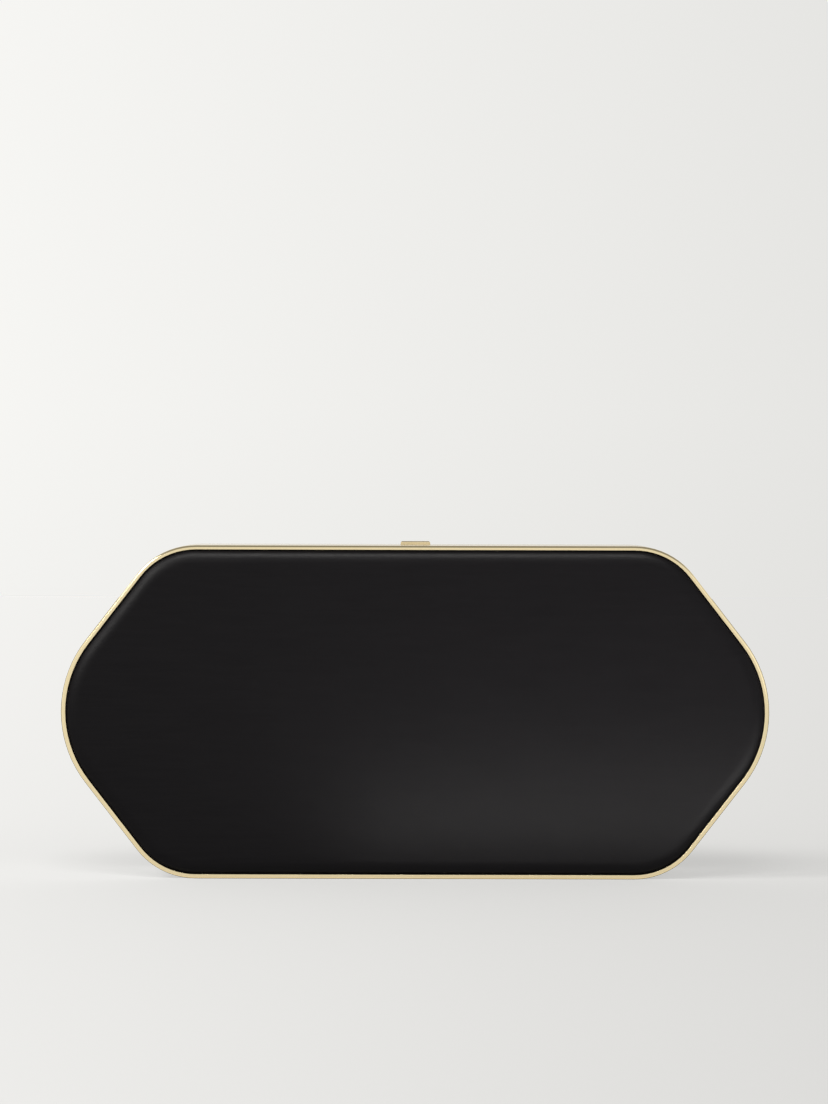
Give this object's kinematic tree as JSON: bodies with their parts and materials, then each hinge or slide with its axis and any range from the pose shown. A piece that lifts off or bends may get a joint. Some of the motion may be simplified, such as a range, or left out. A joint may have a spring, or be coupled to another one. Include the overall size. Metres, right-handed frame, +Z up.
{
  "type": "clutch purse",
  "caption": "Hard elongated-hexagon box clutch in black satin with a polished gold metal rim, a hinge along the bottom edge and a push latch on the top edge.",
  "frame": {"origin": "middle of the bottom edge, on the parting plane between the two halves and on the surface that the case stands on", "axes": "+X along the case's length, +Y from the front half towards the rear half, +Z up from the hinged bottom edge to the latch"},
  "size_m": [0.22, 0.0396, 0.1047],
  "materials": {
    "gold_frame": "polished",
    "gold_hardware": "satin",
    "steel_inside": "satin",
    "shell_plastic": "matte",
    "foam": "matte",
    "black_satin": "satin",
    "lining_cloth": "matte"
  },
  "bodies": {
    "rear_half": {"rear_rim": "gold_frame", "rear_shell": "shell_plastic", "rear_padding": "foam", "rear_cover": "black_satin", "rear_lining": "lining_cloth", "inner_pocket": "lining_cloth", "rear_hinge_leaf": "gold_hardware", "hinge_pin": "steel_inside", "rear_hinge_rivets": "gold_hardware", "latch_housing": "gold_hardware", "latch_housing_rivets": "gold_hardware", "latch_spring": "steel_inside"},
    "front_half": {"front_rim": "gold_frame", "front_shell": "shell_plastic", "front_padding": "foam", "front_cover": "black_satin", "front_lining": "lining_cloth", "front_hinge_leaf": "gold_hardware", "front_hinge_rivets": "gold_hardware", "strike_plate": "gold_hardware", "strike_rivets": "gold_hardware"},
    "latch": {"latch_button": "gold_frame", "latch_hook": "steel_inside"}
  },
  "joints": [
    {"name": "lid_hinge", "type": "hinge", "parent": "rear_half", "child": "front_half", "pos_m": [0, 0, 0.00175], "axis": [1, 0, 0], "range_deg": [0, 90]},
    {"name": "latch_press", "type": "slide", "parent": "rear_half", "child": "latch", "axis": [0, 0, 1], "range_m": [-0.001, 0], "stiffness_N_per_m": 500, "springref_m": 0.002, "deforming": ["latch_spring"]}
  ]
}
